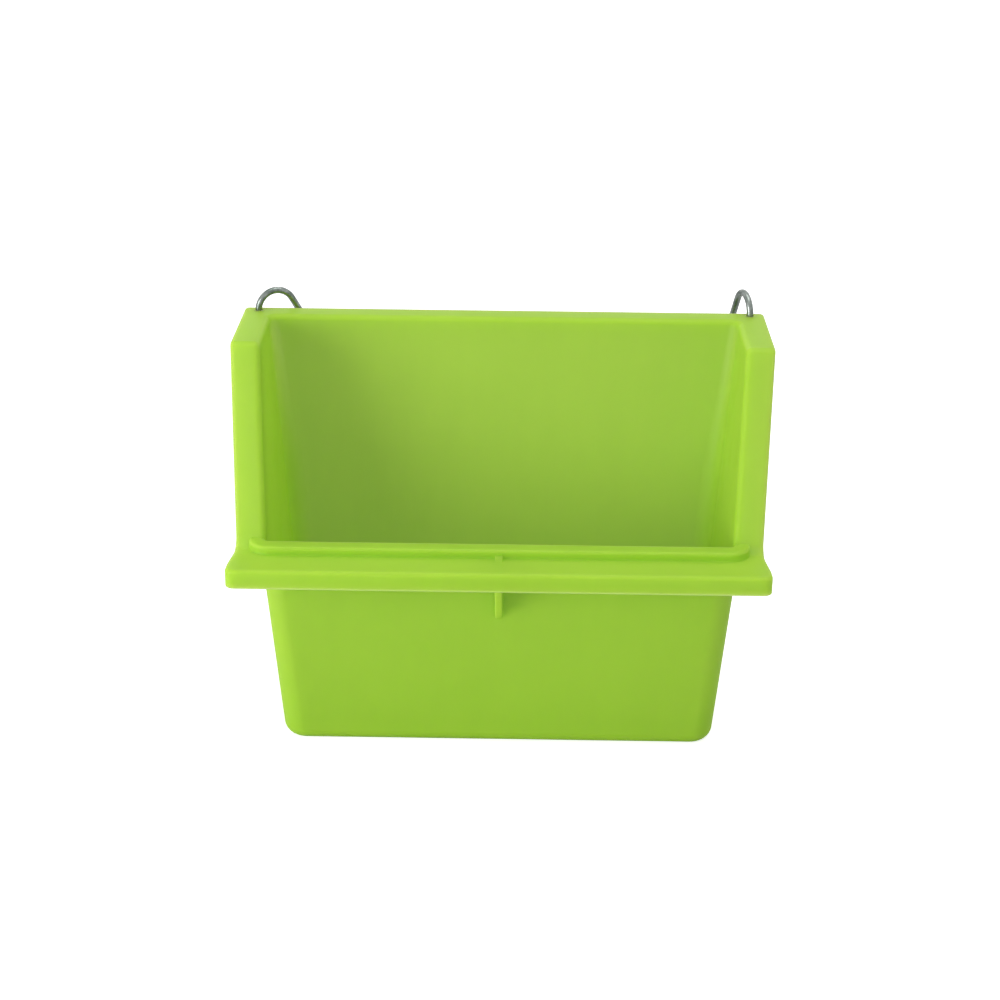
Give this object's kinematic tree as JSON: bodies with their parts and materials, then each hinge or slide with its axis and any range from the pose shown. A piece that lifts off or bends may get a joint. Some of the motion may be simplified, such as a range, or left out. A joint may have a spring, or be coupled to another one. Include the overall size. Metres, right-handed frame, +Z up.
{
  "type": "hook-on feeding bowl",
  "caption": "Moulded plastic feeding bowl with a tall back, sloping cheeks and a low lipped front, hung on cage wires by swivelling bent-wire hooks in its top ledge.",
  "frame": {"origin": "middle of the flat base the bowl stands on", "axes": "+X to the right seen from the front, +Y to the back where the hooks are, +Z up; the low lip faces -Y"},
  "size_m": [0.1562, 0.1008, 0.1184],
  "materials": {
    "lime_plastic": "satin moulded polypropylene, lime green",
    "zinc_wire": "drawn steel wire, zinc plated"
  },
  "bodies": {
    "bowl": {"bowl": "lime_plastic"},
    "left_hook": {"left_hook": "zinc_wire"},
    "right_hook": {"right_hook": "zinc_wire"}
  },
  "joints": [
    {"name": "left_hook_swivel", "type": "hinge", "parent": "bowl", "child": "left_hook", "pos_m": [-0.07375, 0.03835, 0.112], "axis": [0, 0, 1], "range_deg": [-3, 211]},
    {"name": "right_hook_swivel", "type": "hinge", "parent": "bowl", "child": "right_hook", "pos_m": [0.07375, 0.03835, 0.112], "axis": [0, 0, 1], "range_deg": [-161, 53]}
  ]
}
